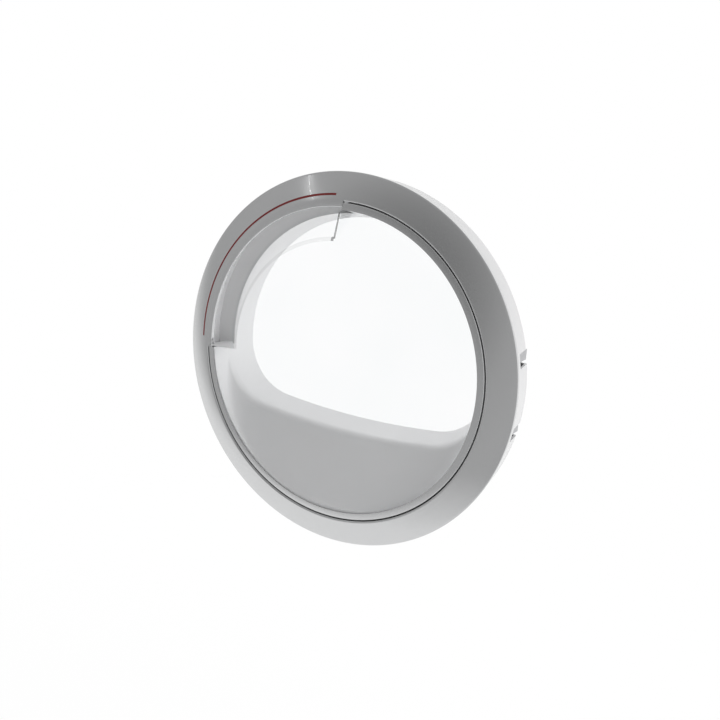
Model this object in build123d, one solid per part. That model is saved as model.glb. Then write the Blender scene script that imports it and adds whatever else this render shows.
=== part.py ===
from build123d import *
from math import cos, degrees, radians, sin, sqrt
import os

# Round tumble dryer door, millimetres. While a piece is drawn, the door's axis is the Y axis:
# r is the distance from that axis, y runs from the room (minus) to the cabinet (plus), z is up.
# Angles are counted from the right, anticlockwise as the room sees the door.

# Front ring
ring_r = 240.0
ring_width = 35.3
ring_rise = 12.6
ring_crown = 0.9
ring_wall = 2.6
ring_edge_round = 1.6
ring_return = 2.5
ring_return_wall = 2.4
ring_return_y = -1.0
ring_skirt_wall = 2.4
ring_inner_r = ring_r - ring_width
ring_return_r = ring_inner_r - ring_return

# Red accent strip, set in a groove of the ring's face
accent_inset = 7.8
accent_width = 2.4
accent_depth = 0.9
accent_proud = 0.1
accent_start = 94.5
accent_end = 180.0
accent_clearance = 0.1
accent_r = ring_inner_r + accent_inset

# Clear front shield
shield_wall = 2.8
shield_edge_round = 2.2
shield_skirt_wall = 2.4
groove_width = 1.9

# Finger pocket between the ring and the shield
grip_start = 95.5
grip_end = 183.0
grip_reach = 46.2
grip_root_inset = 14.2
grip_floor_y = 25.0
grip_under = 8.3
grip_end_inset = 4.2
grip_rim_round = 3.0
grip_wall = 2.6
grip_rim_r = ring_inner_r - grip_reach
grip_root_r = ring_inner_r - grip_root_inset
grip_outer_r = ring_inner_r + grip_under
grip_end_r = ring_inner_r - grip_end_inset

# Inner bowl with its lower panel and shelf
bowl_wall = 2.6
bowl_inset = 9.4
bowl_draft = 15.3
bowl_rear_y = 57.0
bowl_flange_width = 13.8
bowl_panel_inset = 1.9
bowl_panel_height = 99.8
bowl_nose_y = 15.4
bowl_shelf_rise = 8.9
bowl_corner_r = 72.0
bowl_floor_r = 1000.0
bowl_panel_steps = 3
bowl_lip_width = 6.0
bowl_front_r = ring_inner_r - bowl_inset
bowl_rear_r = bowl_front_r - bowl_draft
bowl_flange_r = ring_return_r + bowl_flange_width
bowl_panel_foot_z = bowl_panel_inset - bowl_front_r
bowl_nose_z = bowl_panel_foot_z + bowl_panel_height
bowl_shelf_rear_z = bowl_nose_z + bowl_shelf_rise

# Rear window, gasket and the opening that frames it
gasket_wall = 1.0
window_wall = 2.0
window_dish_depth = 12.0
window_dish_draft = 48.0
window_dish_inset = 4.5
frame_lap = 3.0
lap_clearance = 0.4

# Rear frame
frame_wall = 2.6
frame_step = 0.6
frame_taper = 5.9
frame_rear_y = 43.7
frame_rear_r = ring_r - frame_step - frame_taper
plug_gap = 15.5
plug_draft = 1.5
plug_wall = 2.5
plug_r = bowl_rear_r + plug_gap

# Door seal
seal_gap = 1.3
seal_width = 6.2
seal_base = 2.4
seal_height = 7.0
seal_lip = 2.0
seal_inner_r = plug_r + seal_gap

# Fasteners
shank_sides = 8
head_sides = 6
frame_screw_r = 1.7
frame_screw_head_r = 3.8
frame_screw_head = 2.4
frame_screw_length = 14.0
frame_screw_inset = 18.0
frame_screw_angles = (40.0, 75.0, 110.0, 145.0, 215.0, 250.0, 285.0, 320.0)
frame_screw_circle_r = ring_r - frame_screw_inset
frame_boss_r = 4.6
bowl_screw_r = 1.5
bowl_screw_head_r = 3.2
bowl_screw_head = 2.0
bowl_screw_length = 7.0
bowl_screw_inset = 5.8
bowl_screw_angles = (20.0, 60.0, 205.0, 237.5, 270.0, 302.5, 340.0)
bowl_screw_circle_r = ring_inner_r + bowl_screw_inset
bowl_boss_r = 4.0
thread_clearance = 0.1
through_clearance = 0.4

# Hinge
pivot_inset = 13.5
pivot_depth = 19.7
pivot_x = frame_rear_r - pivot_inset
pivot_y = frame_rear_y - pivot_depth
arm_z = 45.0
arm_height = 13.0
arm_width = 9.0
eye_r = 7.0
bush_r = 4.5
pin_r = 3.0
pin_clearance = 0.06
pin_head_r = 4.2
pin_head = 1.5
leaf_offset = 8.0
leaf_width = 15.0
leaf_height = 120.0
leaf_wall = 3.0
leaf_gap = 6.8
leaf_hole_r = 2.75
leaf_hole_margin = 5.5
leaf_inner_spacing = 40.0
leaf_x = pivot_x - leaf_offset
leaf_outer_spacing = leaf_height - 2 * leaf_hole_margin
slot_height = 17.0
slot_front = 12.0
slot_inner = 8.4
slot_front_y = pivot_y - slot_front
slot_inner_x = pivot_x - slot_inner
ear_wall = 3.4
ear_gap = 0.8
ear_r = 5.4
bracket_reach = 20.5
bracket_width = 11.5
bracket_height = 138.0
bracket_wall = 2.7
bracket_screw_inset = 12.6
bracket_screw_z = (-62.0, -20.0, 20.0, 62.0)
bracket_x = pivot_x - bracket_reach
bracket_screw_x = pivot_x - bracket_screw_inset

# Latch
latch_inset = 17.5
latch_pivot_depth = 9.7
hook_height = 8.0
hook_stem = 6.0
hook_reach = 18.3
hook_barb = 6.5
hook_barb_length = 7.0
hook_barb_nose = 1.5
hook_eye_r = 4.2
latch_pin_r = 1.5
latch_gap = 0.4
cheek_wall = 2.4
cheek_width = 13.0
cheek_front = 4.7
latch_plate_wall = 2.6
latch_plate_height = 40.0
latch_plate_left_width = 13.0
latch_plate_right_width = 11.0
latch_opening_left_width = 9.0
latch_opening_right_width = 9.5
latch_back_wall = 2.0
latch_screw_z = 15.0
spring_wall = 0.6
spring_height = 6.0
latch_x = latch_inset - frame_rear_r
latch_pivot_y = frame_rear_y - latch_pivot_depth
hook_reach_y = frame_rear_y + hook_reach
cheek_front_y = latch_pivot_y - cheek_front
latch_plate_left = latch_x - latch_plate_left_width
latch_plate_right = latch_x + latch_plate_right_width
latch_opening_left = latch_x - latch_opening_left_width
latch_opening_right = latch_x + latch_opening_right_width

door_axis = Axis((0, 0, 0), (0, -1, 0))


def ring_face_y(r):
    """Depth of the ring's straight face line at radius r."""
    return -ring_rise * (ring_r - r) / (ring_r - ring_inner_r)


def polygon(points, rounds=()):
    """Flat face through the points, with (point, radius) corners rounded."""
    face = make_face(Polyline(*points, close=True))
    for point, radius in rounds:
        corner = face.vertices().sort_by_distance((point[0], point[1], 0))[0]
        face = fillet(corner, radius)
    return face


def turned(face, start=0.0, sweep=360.0):
    """Solid made by turning an (r, y) face about the door's axis."""
    return Rot(0, -start, 0) * revolve(face, axis=door_axis, revolution_arc=sweep)


def around(r, angle):
    """Place on the door at radius r and angle, as x and z."""
    return r * cos(radians(angle)), r * sin(radians(angle))


def round_bar(r, front_y, rear_y, x, z):
    """Round bar along the door's depth."""
    bar = revolve(polygon([(0, front_y), (r, front_y), (r, rear_y), (0, rear_y)]), axis=Axis.Y)
    return Pos(x, 0, z) * bar


def prism_bar(r, sides, front_y, rear_y, x, z):
    """Many-sided bar along the door's depth, for what repeats often."""
    section = Plane(origin=(x, front_y, z), x_dir=(1, 0, 0), z_dir=(0, 1, 0)) * RegularPolygon(r, sides)
    return extrude(section, amount=rear_y - front_y)


def screw(shank_r, head_r, head, length, seat_y, x, z):
    """Hexagon head screw that is driven from the rear and seats its head at seat_y."""
    shank = prism_bar(shank_r, shank_sides, seat_y - length, seat_y, x, z)
    return shank + prism_bar(head_r, head_sides, seat_y, seat_y + head, x, z)


def d_face(r, floor_z, corner_r, y):
    """Window-shaped face at depth y: a circle with a flattened, softly cornered floor."""
    floor_centre = floor_z + bowl_floor_r
    corner_reach = r - corner_r
    floor_reach = bowl_floor_r - corner_r
    corner_z = (corner_reach ** 2 - floor_reach ** 2 + floor_centre ** 2) / (2 * floor_centre)
    corner_x = sqrt(corner_reach ** 2 - corner_z ** 2)
    side = (corner_x * r / corner_reach, corner_z * r / corner_reach)
    stretch = bowl_floor_r / floor_reach
    foot = (corner_x * stretch, floor_centre + (corner_z - floor_centre) * stretch)
    turn_x = (side[0] + foot[0]) / 2 - corner_x
    turn_z = (side[1] + foot[1]) / 2 - corner_z
    reach = corner_r / sqrt(turn_x ** 2 + turn_z ** 2)
    middle = (corner_x + turn_x * reach, corner_z + turn_z * reach)
    outline = [ThreePointArc(side, (0, r), (-side[0], side[1])),
               ThreePointArc((-side[0], side[1]), (-middle[0], middle[1]), (-foot[0], foot[1])),
               ThreePointArc((-foot[0], foot[1]), (0, floor_z), foot),
               ThreePointArc(foot, middle, side)]
    return Plane(origin=(0, y, 0), x_dir=(1, 0, 0), z_dir=(0, -1, 0)) * make_face(outline)


def d_block(r, floor_z, corner_r, front_y, rear_y):
    """Straight prism with the window's outline."""
    return extrude(d_face(r, floor_z, corner_r, rear_y), amount=rear_y - front_y)


def bowl_form(grow, shift):
    """Inside form of the bowl, grown outwards and shifted to the rear for its outer skin."""
    front_y = -ring_rise
    sections = []
    for step in range(bowl_panel_steps + 1):
        part = step / bowl_panel_steps
        y = front_y + part * (bowl_nose_y - front_y)
        floor = bowl_panel_foot_z + part * (bowl_nose_z - bowl_panel_foot_z)
        sections.append((y, floor))
    sections.append((bowl_rear_y, bowl_shelf_rear_z))
    faces = []
    for y, floor in sections:
        depth_share = (y - front_y) / (bowl_rear_y - front_y)
        r = bowl_front_r + depth_share * (bowl_rear_r - bowl_front_r)
        faces.append(d_face(r + grow, floor - grow, bowl_corner_r + grow, y + shift))
    return loft(faces, ruled=True)


def front_ring():
    skirt_r = ring_inner_r + ring_skirt_wall
    inner_face_y = ring_face_y(skirt_r) + ring_wall
    middle_r = (ring_r + ring_inner_r) / 2
    face_line = ThreePointArc((ring_inner_r, -ring_rise), (middle_r, ring_face_y(middle_r) - ring_crown), (ring_r, 0))
    back = Polyline((ring_r, 0), (ring_r, ring_wall), (skirt_r, inner_face_y), (skirt_r, ring_return_y),
                    (ring_return_r, ring_return_y), (ring_return_r, ring_return_y - ring_return_wall),
                    (ring_inner_r, -ring_rise))
    section = make_face([face_line, back])
    nose = section.vertices().sort_by_distance((ring_inner_r, -ring_rise, 0))[0]
    body = turned(fillet(nose, ring_edge_round))
    for angle in frame_screw_angles:
        x, z = around(frame_screw_circle_r, angle)
        root_y = ring_face_y(frame_screw_circle_r) + ring_wall * 0.4
        body += prism_bar(frame_boss_r, shank_sides, root_y, frame_rear_y - frame_wall, x, z)
        pilot_y = frame_rear_y - frame_screw_length - 1
        body -= prism_bar(frame_screw_r + thread_clearance, shank_sides, pilot_y, frame_rear_y, x, z)
    for angle in bowl_screw_angles:
        x, z = around(bowl_screw_circle_r, angle)
        root_y = ring_face_y(bowl_screw_circle_r) + ring_wall * 0.4
        body += prism_bar(bowl_boss_r, shank_sides, root_y, ring_return_y, x, z)
        pilot_y = ring_return_y + bowl_wall - bowl_screw_length - 0.5
        body -= prism_bar(bowl_screw_r + thread_clearance, shank_sides, pilot_y, ring_return_y + 1, x, z)
    return body - accent_bar(accent_clearance)


def accent_bar(grow):
    """Bent strip that follows the ring's crowned face, grown at its sides and ends for the groove."""
    inner_r = accent_r - accent_width / 2 - grow
    outer_r = accent_r + accent_width / 2 + grow
    share = (accent_r - ring_inner_r) / (ring_r - ring_inner_r)
    top_y = ring_face_y(accent_r) - 4 * ring_crown * share * (1 - share)
    lean = ring_face_y(outer_r) - ring_face_y(accent_r)
    lift = accent_proud if grow == 0 else accent_depth + ring_crown
    section = polygon([(inner_r, top_y - lean - lift), (outer_r, top_y + lean - lift),
                       (outer_r, top_y + lean + accent_depth), (inner_r, top_y - lean + accent_depth)])
    end_angle = degrees(grow / accent_r)
    return turned(section, accent_start - end_angle, accent_end - accent_start + 2 * end_angle)


def grip_angles(grow):
    """Start and sweep of the pocket, lengthened at both ends by grow."""
    extra = degrees(grow / grip_root_r)
    return grip_start - extra, grip_end - grip_start + 2 * extra


def clear_shield():
    pane_y = -ring_rise
    back_y = pane_y + shield_wall
    lean = (ring_inner_r - ring_return_r) / (ring_rise + ring_return_y - ring_return_wall)
    edge_r = ring_inner_r - groove_width
    foot_r = edge_r - lean * (ring_return_y - pane_y)
    slope = (grip_root_r - grip_rim_r) / (grip_floor_y - pane_y)
    wall_r = grip_wall * sqrt(1 + slope * slope)
    hub_r = grip_rim_r / 2
    bend_r = grip_rim_r - wall_r + slope * shield_wall
    end_angle = degrees(grip_wall / grip_root_r)
    start, sweep = grip_angles(0)

    pane = turned(polygon([(0, pane_y), (hub_r, pane_y), (hub_r, back_y), (0, back_y)]))
    rim_section = polygon(
        [(hub_r, pane_y), (edge_r, pane_y), (foot_r, ring_return_y), (foot_r - shield_skirt_wall, ring_return_y),
         (edge_r - lean * shield_wall - shield_skirt_wall, back_y), (hub_r, back_y)],
        [((edge_r, pane_y), shield_edge_round)])
    grip_section = polygon(
        [(hub_r, pane_y), (grip_rim_r, pane_y), (grip_root_r, grip_floor_y), (grip_root_r - wall_r, grip_floor_y),
         (bend_r, back_y), (hub_r, back_y)],
        [((grip_rim_r, pane_y), grip_rim_round)])
    end_section = polygon(
        [(hub_r, pane_y), (grip_end_r, pane_y), (grip_end_r, grip_floor_y), (grip_root_r - wall_r, grip_floor_y),
         (bend_r, back_y), (hub_r, back_y)])
    pane += turned(rim_section, start + sweep + end_angle, 360 - sweep - 2 * end_angle)
    pane += turned(grip_section, start, sweep)
    pane += turned(end_section, start - end_angle, end_angle)
    return pane + turned(end_section, start + sweep, end_angle)


def inner_bowl():
    front_y = -ring_rise + shield_wall
    body = bowl_form(bowl_wall, shield_wall)
    flange = [(bowl_rear_r, ring_return_y), (bowl_flange_r, ring_return_y),
              (bowl_flange_r, ring_return_y + bowl_wall), (bowl_rear_r, ring_return_y + bowl_wall)]
    body += turned(polygon(flange))
    body += d_block(bowl_rear_r + bowl_lip_width, bowl_shelf_rear_z - bowl_lip_width,
                    bowl_corner_r + bowl_lip_width, bowl_rear_y - bowl_wall, bowl_rear_y)
    start, sweep = grip_angles(2 * grip_wall)
    pocket = [(bowl_rear_r, ring_return_y), (grip_outer_r + bowl_wall, ring_return_y),
              (grip_outer_r + bowl_wall, grip_floor_y + bowl_wall), (bowl_rear_r, grip_floor_y + bowl_wall)]
    body += turned(polygon(pocket), start, sweep)
    body -= bowl_form(0, 0)
    start, sweep = grip_angles(grip_wall + lap_clearance)
    hollow = [(grip_rim_r, front_y - shield_wall), (grip_outer_r, front_y - shield_wall),
              (grip_outer_r, grip_floor_y), (grip_rim_r, grip_floor_y)]
    body -= turned(polygon(hollow), start, sweep)
    body &= Pos(0, (front_y + bowl_rear_y) / 2, 0) * Box(2.2 * ring_r, bowl_rear_y - front_y, 2.2 * ring_r)
    for angle in bowl_screw_angles:
        x, z = around(bowl_screw_circle_r, angle)
        body -= prism_bar(bowl_screw_r + through_clearance, shank_sides, ring_return_y - 1,
                          ring_return_y + bowl_wall + 1, x, z)
    return body


def bowl_screws():
    seat_y = ring_return_y + bowl_wall
    return [screw(bowl_screw_r, bowl_screw_head_r, bowl_screw_head, bowl_screw_length, seat_y,
                  *around(bowl_screw_circle_r, angle)) for angle in bowl_screw_angles]


def window_gasket():
    rear_y = bowl_rear_y + gasket_wall
    outer = d_block(bowl_rear_r + bowl_lip_width, bowl_shelf_rear_z - bowl_lip_width,
                    bowl_corner_r + bowl_lip_width, bowl_rear_y, rear_y)
    return outer - d_block(bowl_rear_r, bowl_shelf_rear_z, bowl_corner_r, bowl_rear_y - 1, rear_y + 1)


def window():
    front_y = bowl_rear_y + gasket_wall
    rear_y = front_y + window_wall
    floor_y = rear_y + window_dish_depth
    rim = d_block(bowl_rear_r + bowl_lip_width, bowl_shelf_rear_z - bowl_lip_width,
                  bowl_corner_r + bowl_lip_width, front_y, rear_y)
    def dish(grow, front, depth):
        pull = frame_lap + window_dish_inset - grow
        mouth = d_face(bowl_rear_r - pull, bowl_shelf_rear_z + pull, bowl_corner_r - pull, front)
        return extrude(mouth, amount=-depth, taper=window_dish_draft)

    form = rim + dish(0, rear_y, floor_y - rear_y)
    return form - dish(-window_wall, front_y, floor_y - window_wall - front_y)


def hinge_slot(side):
    width = ring_r + 10 - slot_inner_x
    depth = frame_rear_y + 10 - slot_front_y
    return Pos(slot_inner_x + width / 2, slot_front_y + depth / 2, side * arm_z) * Box(width, depth, slot_height)


def screw_hole(x, z):
    """Through hole for a screw in the rear frame's back."""
    return prism_bar(frame_screw_r + through_clearance, shank_sides, frame_rear_y - 2 * frame_wall,
                     frame_rear_y + frame_wall, x, z)


def rear_frame():
    plate_front_y = bowl_rear_y + gasket_wall + window_wall
    plate_rear_y = plate_front_y + plug_wall
    inner_rear_y = frame_rear_y - frame_wall
    outline = [(0, plate_front_y), (plug_r - plug_draft - plug_wall, plate_front_y), (plug_r - plug_wall, inner_rear_y),
               (frame_rear_r - frame_wall, inner_rear_y), (ring_r - frame_step - frame_wall, ring_wall),
               (ring_r - frame_step, ring_wall), (frame_rear_r, frame_rear_y), (plug_r, frame_rear_y),
               (plug_r - plug_draft, plate_rear_y), (0, plate_rear_y)]
    body = turned(polygon(outline, [((frame_rear_r, frame_rear_y), frame_wall * 0.9)]))
    body -= d_block(bowl_rear_r - frame_lap, bowl_shelf_rear_z + frame_lap, bowl_corner_r - frame_lap,
                    plate_front_y - 1, plate_rear_y + 1)
    for side in (-1, 1):
        body -= hinge_slot(side)
    opening_width = latch_opening_right - latch_opening_left
    opening_height = hook_height + 2 * latch_gap + 2
    body -= (Pos((latch_opening_left + latch_opening_right) / 2, frame_rear_y, 0)
             * Box(opening_width, 4 * frame_wall, opening_height))
    for angle in frame_screw_angles:
        x, z = around(frame_screw_circle_r, angle)
        body -= screw_hole(x, z)
    for z in bracket_screw_z:
        body -= screw_hole(bracket_screw_x, z)
    for z in (-latch_screw_z, latch_screw_z):
        body -= screw_hole(latch_x, z)
    return body


def frame_screws():
    return [screw(frame_screw_r, frame_screw_head_r, frame_screw_head, frame_screw_length, frame_rear_y,
                  *around(frame_screw_circle_r, angle)) for angle in frame_screw_angles]


def door_seal():
    outer_r = seal_inner_r + seal_width
    base_y = frame_rear_y + seal_base
    tip_y = frame_rear_y + seal_height
    outline = [(seal_inner_r, frame_rear_y), (outer_r, frame_rear_y), (outer_r, base_y),
               (seal_inner_r + 2 * seal_lip, base_y), (outer_r, tip_y - seal_lip / 2),
               (outer_r - seal_lip / 2, tip_y), (seal_inner_r + seal_lip / 2, base_y + seal_lip / 2)]
    return turned(polygon(outline))


def hinge_leaf():
    front_y = frame_rear_y + leaf_gap
    plate = Pos(leaf_x, front_y + leaf_wall / 2, 0) * Box(leaf_width, leaf_wall, leaf_height)
    plate = fillet(plate.edges().filter_by(Axis.Y), leaf_width / 4)
    for side in (-1, 1):
        arm_length = front_y + leaf_wall - pivot_y
        arm = Pos(pivot_x, pivot_y + arm_length / 2, side * arm_z) * Box(arm_width, arm_length, arm_height)
        eye = Pos(pivot_x, pivot_y, side * arm_z) * Cylinder(eye_r, arm_height)
        plate += arm + eye
        plate -= Pos(pivot_x, pivot_y, side * arm_z) * Cylinder(bush_r, 2 * arm_height)
    for z in (leaf_outer_spacing / 2, leaf_inner_spacing / 2):
        for side in (-1, 1):
            plate -= round_bar(leaf_hole_r, front_y - 1, front_y + leaf_wall + 1, leaf_x, side * z)
    return plate


def hinge_bushes():
    bush = Cylinder(bush_r, arm_height) - Cylinder(pin_r + pin_clearance, 2 * arm_height)
    return [Pos(pivot_x, pivot_y, side * arm_z) * bush for side in (-1, 1)]


def hinge_pins():
    length = arm_height + 2 * ear_gap + 2 * ear_wall
    pin = Cylinder(pin_r, length) + Pos(0, 0, (length + pin_head) / 2) * Cylinder(pin_head_r, pin_head)
    return [Pos(pivot_x, pivot_y, side * arm_z) * pin for side in (-1, 1)]


def hinge_bracket():
    rear_y = frame_rear_y - frame_wall
    base_front_y = rear_y - bracket_wall
    body = (Pos(bracket_x + bracket_width / 2, rear_y - bracket_wall / 2, 0)
            * Box(bracket_width, bracket_wall, bracket_height))
    tip_x = pivot_x + ear_r
    ear = polygon([(bracket_x, rear_y), (bracket_x + bracket_width, rear_y), (tip_x, pivot_y + ear_r * 0.6),
                   (tip_x, pivot_y - ear_r), (pivot_x - ear_r, pivot_y - ear_r), (bracket_x, base_front_y - 3)],
                  [((tip_x, pivot_y - ear_r), ear_r * 0.9)])
    for side in (-1, 1):
        for lift in (-1, 1):
            z = side * arm_z + lift * (arm_height / 2 + ear_gap + ear_wall / 2)
            body += Pos(0, 0, z) * extrude(ear, amount=ear_wall / 2, both=True)
        body -= Pos(pivot_x, pivot_y, side * arm_z) * Cylinder(pin_r + thread_clearance / 5, 4 * arm_height)
    for z in bracket_screw_z:
        body -= prism_bar(frame_screw_r + thread_clearance, shank_sides, base_front_y - 1, rear_y + 1,
                          bracket_screw_x, z)
    return body


def bracket_screws():
    return [screw(frame_screw_r, frame_screw_head_r, frame_screw_head, frame_screw_length / 2, frame_rear_y,
                  bracket_screw_x, z) for z in bracket_screw_z]


def latch_housing():
    rear_y = frame_rear_y - frame_wall
    plate_front_y = rear_y - latch_plate_wall
    width = latch_plate_right - latch_plate_left
    body = (Pos((latch_plate_left + latch_plate_right) / 2, rear_y - latch_plate_wall / 2, 0)
            * Box(width, latch_plate_wall, latch_plate_height))
    hollow = hook_height + 2 * latch_gap
    block_height = hollow + 2 * cheek_wall
    left = latch_opening_left - latch_back_wall
    right = latch_x + cheek_width / 2
    body += (Pos((left + right) / 2, (cheek_front_y + plate_front_y) / 2, 0)
             * Box(right - left, plate_front_y - cheek_front_y, block_height))
    body -= (Pos((latch_opening_left + latch_opening_right) / 2, rear_y, 0)
             * Box(latch_opening_right - latch_opening_left, 2 * (rear_y - cheek_front_y) + 2, hollow))
    body -= Pos(latch_x, latch_pivot_y, 0) * Cylinder(latch_pin_r + thread_clearance / 5, 4 * hook_height)
    for z in (-latch_screw_z, latch_screw_z):
        body -= prism_bar(frame_screw_r + thread_clearance, shank_sides, plate_front_y - 1, rear_y + 1, latch_x, z)
    return body


def latch_hook():
    left = latch_x - hook_stem / 2
    right = latch_x + hook_stem / 2
    barb_y = hook_reach_y - hook_barb_length
    outline = polygon([(left, latch_pivot_y), (right, latch_pivot_y), (right, barb_y), (right + hook_barb, barb_y),
                       (right + hook_barb, barb_y + hook_barb_nose), (right, hook_reach_y), (left, hook_reach_y)],
                      [((left, hook_reach_y), hook_stem / 3), ((right, barb_y), 0.8)])
    eye = Pos(latch_x, latch_pivot_y) * Circle(hook_eye_r)
    hook = extrude(outline + eye, amount=hook_height / 2, both=True)
    return hook - Pos(latch_x, latch_pivot_y, 0) * Cylinder(latch_pin_r + pin_clearance, 2 * hook_height)


def latch_pin():
    return Pos(latch_x, latch_pivot_y, 0) * Cylinder(latch_pin_r, hook_height + 2 * latch_gap + 2 * cheek_wall)


def latch_spring():
    root_x = latch_opening_left
    tip_x = latch_x - hook_stem / 2
    tip_y = frame_rear_y - frame_wall
    root_y = cheek_front_y + 1
    strip = polygon([(root_x, root_y), (root_x + spring_wall, root_y), (root_x + spring_wall, root_y + 2.5),
                     (tip_x, tip_y - 2), (tip_x, tip_y), (tip_x - spring_wall, tip_y - 1.4),
                     (root_x, root_y + 3)])
    return extrude(strip, amount=spring_height / 2, both=True)


def latch_screws():
    return [screw(frame_screw_r, frame_screw_head_r, frame_screw_head, frame_screw_length / 2, frame_rear_y,
                  latch_x, z) for z in (-latch_screw_z, latch_screw_z)]


pieces = {
    "front_ring": front_ring(),
    "accent_strip": accent_bar(0),
    "clear_shield": clear_shield(),
    "inner_bowl": inner_bowl(),
    "bowl_screws": bowl_screws(),
    "window_gasket": window_gasket(),
    "window": window(),
    "rear_frame": rear_frame(),
    "frame_screws": frame_screws(),
    "door_seal": door_seal(),
    "hinge_leaf": hinge_leaf(),
    "hinge_bushes": hinge_bushes(),
    "hinge_pins": hinge_pins(),
    "hinge_bracket": hinge_bracket(),
    "bracket_screws": bracket_screws(),
    "latch_housing": latch_housing(),
    "latch_hook": latch_hook(),
    "latch_pin": latch_pin(),
    "latch_spring": latch_spring(),
    "latch_screws": latch_screws(),
}

# The finished door stands in the frame of its hinge leaf: the middle of the leaf's cabinet face.
to_leaf = Pos(-leaf_x, -(frame_rear_y + leaf_gap + leaf_wall), 0)
os.makedirs("parts", exist_ok=True)
for name, shape in pieces.items():
    whole = Compound(children=shape) if isinstance(shape, list) else shape
    export_step(to_leaf * whole, f"parts/{name}.step")
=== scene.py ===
import bpy
from math import atan2, cos, pi, radians, sin, sqrt, tan
from mathutils import Matrix, Vector


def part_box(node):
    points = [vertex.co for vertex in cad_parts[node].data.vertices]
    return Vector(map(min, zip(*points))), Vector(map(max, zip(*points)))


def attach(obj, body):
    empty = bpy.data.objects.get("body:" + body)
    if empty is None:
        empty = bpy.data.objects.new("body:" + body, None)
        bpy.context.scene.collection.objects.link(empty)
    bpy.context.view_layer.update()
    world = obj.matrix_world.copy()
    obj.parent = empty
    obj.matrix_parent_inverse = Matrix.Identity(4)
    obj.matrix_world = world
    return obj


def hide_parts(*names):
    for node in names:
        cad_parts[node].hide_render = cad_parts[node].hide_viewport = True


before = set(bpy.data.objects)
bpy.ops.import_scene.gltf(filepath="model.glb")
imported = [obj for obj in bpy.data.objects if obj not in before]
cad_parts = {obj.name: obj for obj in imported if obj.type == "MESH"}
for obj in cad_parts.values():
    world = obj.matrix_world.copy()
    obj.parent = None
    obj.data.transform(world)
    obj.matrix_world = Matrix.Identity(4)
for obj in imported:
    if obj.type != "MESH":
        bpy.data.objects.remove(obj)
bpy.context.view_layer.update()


# Front ring: one moulded plastic ring with a slightly crowned, sloping face and a turned-in inner edge.
# It is sprayed with a silver gloss lacquer. Bosses on its back take the screws of the bowl and rear frame.
# Lengths are in millimetres: r from the door's axis, depth from the ring's outer edge towards the cabinet.
mm = 0.001
ring_low, ring_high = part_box("front_ring")
ring_r = (ring_high[2] - ring_low[2]) / 2 / mm
ring_rise = 12.6
ring_inner_r = 204.7
ring_crown = 0.9
ring_wall = 2.6
ring_skirt_r = 207.1
ring_return_r = 202.2
ring_return_depth = -1.0
ring_return_wall = 2.4
ring_edge_round = 2.0
ring_outer_round = 0.9
door_x = (ring_low[0] + ring_high[0]) / 2
door_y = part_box("clear_shield")[0][1] + ring_rise * mm
turn_steps = 240
sector_steps = 120
same_point = 0.00001
edge_slack = 0.0001
smooth_angle = 32.0
frame_rear_depth = 43.7
frame_wall = 2.6
inner_rear = frame_rear_depth - frame_wall
frame_screw_circle_r = 222.0
frame_screw_angles = (40, 75, 110, 145, 215, 250, 285, 320)
frame_boss_r = 4.6
bowl_screw_circle_r = 210.5
bowl_screw_angles = (20, 60, 205, 237.5, 270, 302.5, 340)
bowl_boss_r = 3.2
boss_cover = 0.6
frame_pilot_r = 1.8
frame_pilot_front = 28.7
bowl_pilot_r = 1.6
bowl_pilot_front = -5.9


def place(r, depth, angle=0.0):
    """Point of the frame, in metres, at a radius, depth and angle of the door."""
    turn = radians(angle)
    return Vector((door_x + r * mm * cos(turn), door_y + depth * mm, r * mm * sin(turn)))


def ring_face(r):
    """Depth of the ring's crowned face at radius r."""
    share = (r - ring_inner_r) / (ring_r - ring_inner_r)
    return -ring_rise * (1 - share) - 4 * ring_crown * share * (1 - share)


def clean_mesh():
    """Merges doubles, drops loose edges, closes open ends and turns the faces outwards, in edit mode."""
    bpy.ops.mesh.select_all(action="SELECT")
    bpy.ops.mesh.remove_doubles(threshold=same_point)
    bpy.ops.mesh.delete_loose()
    bpy.ops.mesh.select_all(action="SELECT")
    bpy.ops.mesh.fill_holes(sides=0)
    bpy.ops.mesh.select_all(action="SELECT")
    bpy.ops.mesh.normals_make_consistent(inside=False)
    bpy.ops.object.mode_set(mode="OBJECT")


def spun(name, outline, start=0.0, sweep=360.0, steps=turn_steps):
    """Solid turned about the door's axis from a closed outline of (r, depth) corners."""
    bpy.ops.object.select_all(action="DESELECT")
    bpy.ops.mesh.primitive_circle_add(vertices=len(outline))
    piece = bpy.context.object
    piece.name = name
    for vertex, (r, depth) in zip(piece.data.vertices, outline):
        vertex.co = place(r, depth, start)
    bpy.ops.object.mode_set(mode="EDIT")
    bpy.ops.mesh.select_all(action="SELECT")
    bpy.ops.mesh.spin(steps=steps, angle=radians(sweep), center=place(0, 0), axis=(0, 1, 0))
    clean_mesh()
    return piece


def round_edge(piece, r, depth, width, segments=5):
    """Bevels the turned edge of a piece that lies at a radius and depth."""
    mesh = piece.data
    for part in (mesh.vertices, mesh.edges, mesh.polygons):
        part.foreach_set("select", [False] * len(part))
    for edge in mesh.edges:
        ends = [mesh.vertices[index].co for index in edge.vertices]
        edge.select = all(abs(sqrt((end.x - door_x) ** 2 + end.z ** 2) - r * mm) < edge_slack
                          and abs(end.y - door_y - depth * mm) < edge_slack for end in ends)
        if edge.select:
            for index in edge.vertices:
                mesh.vertices[index].select = True
    bpy.context.view_layer.objects.active = piece
    bpy.ops.object.mode_set(mode="EDIT")
    bpy.context.tool_settings.mesh_select_mode = (False, True, False)
    bpy.ops.mesh.bevel(offset=width * mm, segments=segments, affect="EDGES")
    bpy.context.tool_settings.mesh_select_mode = (True, False, False)
    bpy.ops.object.mode_set(mode="OBJECT")


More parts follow.
